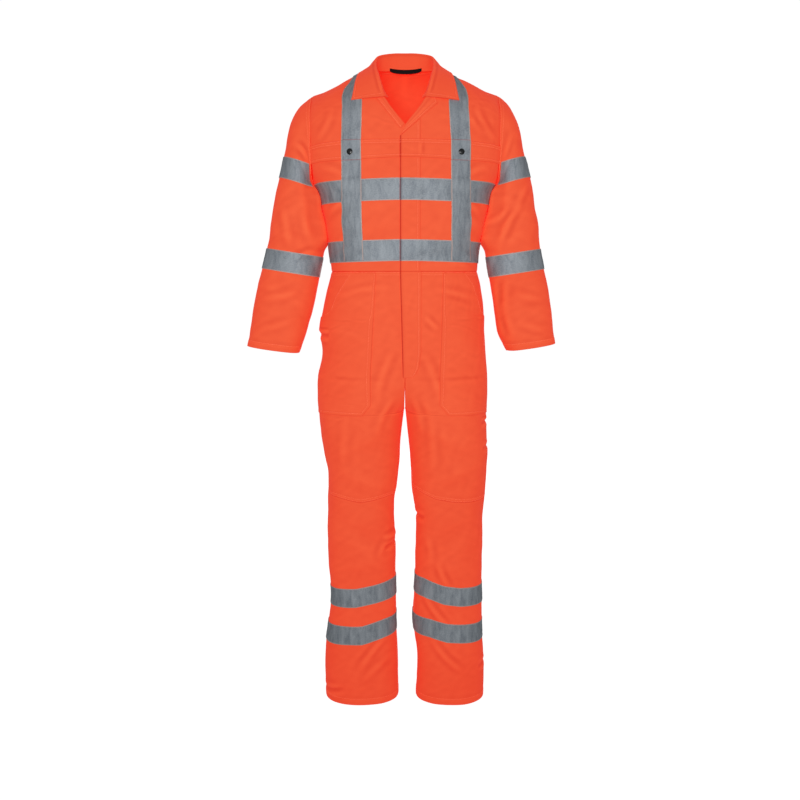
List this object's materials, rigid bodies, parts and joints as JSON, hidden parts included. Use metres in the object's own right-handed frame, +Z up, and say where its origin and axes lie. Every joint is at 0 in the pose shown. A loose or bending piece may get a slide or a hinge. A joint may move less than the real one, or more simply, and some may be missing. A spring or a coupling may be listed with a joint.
{
  "type": "boiler suit",
  "caption": "Long-sleeved boiler suit in bright cloth with reflective bands and braces, fold-over collar, chest flaps, hip patch pockets and a covered front closure",
  "frame": {"origin": "midway between the shoulders at the height of the shoulder line, where the wearer's shoulders hold the suit", "axes": "+Z up, -Y towards the front of the suit, +X towards the wearer's left"},
  "size_m": [0.762, 0.2438, 1.652],
  "materials": {
    "cloth": "fluorescent orange-red polyester-cotton twill, matt",
    "tape": "silver-grey glass-bead reflective tape, satin",
    "ribbon": "black woven polyester ribbon",
    "snap": "black snap fastener cap, satin"
  },
  "bodies": {
    "root": {"back": "cloth", "front_right": "cloth", "front_left": "cloth", "placket_upper": "cloth", "placket_lower": "cloth", "lapel_left": "cloth", "lapel_right": "cloth", "collar": "cloth", "flap_right": "cloth", "flap_left": "cloth", "sleeve_right": "cloth", "sleeve_left": "cloth", "thigh_front_right": "cloth", "thigh_front_left": "cloth", "shin_front_right": "cloth", "shin_front_left": "cloth", "leg_back_right": "cloth", "leg_back_left": "cloth", "hip_pocket_right": "cloth", "hip_pocket_left": "cloth", "chest_band_right": "tape", "chest_band_left": "tape", "chest_band_back": "tape", "waist_band_right": "tape", "waist_band_left": "tape", "waist_band_back": "tape", "brace_upper_right": "tape", "brace_upper_left": "tape", "brace_lower_right": "tape", "brace_lower_left": "tape", "flap_tape_right": "tape", "flap_tape_left": "tape", "brace_back_right": "tape", "brace_back_left": "tape", "sleeve_band_upper_right": "tape", "sleeve_band_upper_left": "tape", "sleeve_band_lower_right": "tape", "sleeve_band_lower_left": "tape", "leg_band_upper_front_right": "tape", "leg_band_upper_back_right": "tape", "leg_band_lower_front_right": "tape", "leg_band_lower_back_right": "tape", "leg_band_upper_front_left": "tape", "leg_band_upper_back_left": "tape", "leg_band_lower_front_left": "tape", "leg_band_lower_back_left": "tape", "hanger_loop": "ribbon", "snap_right": "snap", "snap_left": "snap"}
  },
  "joints": []
}
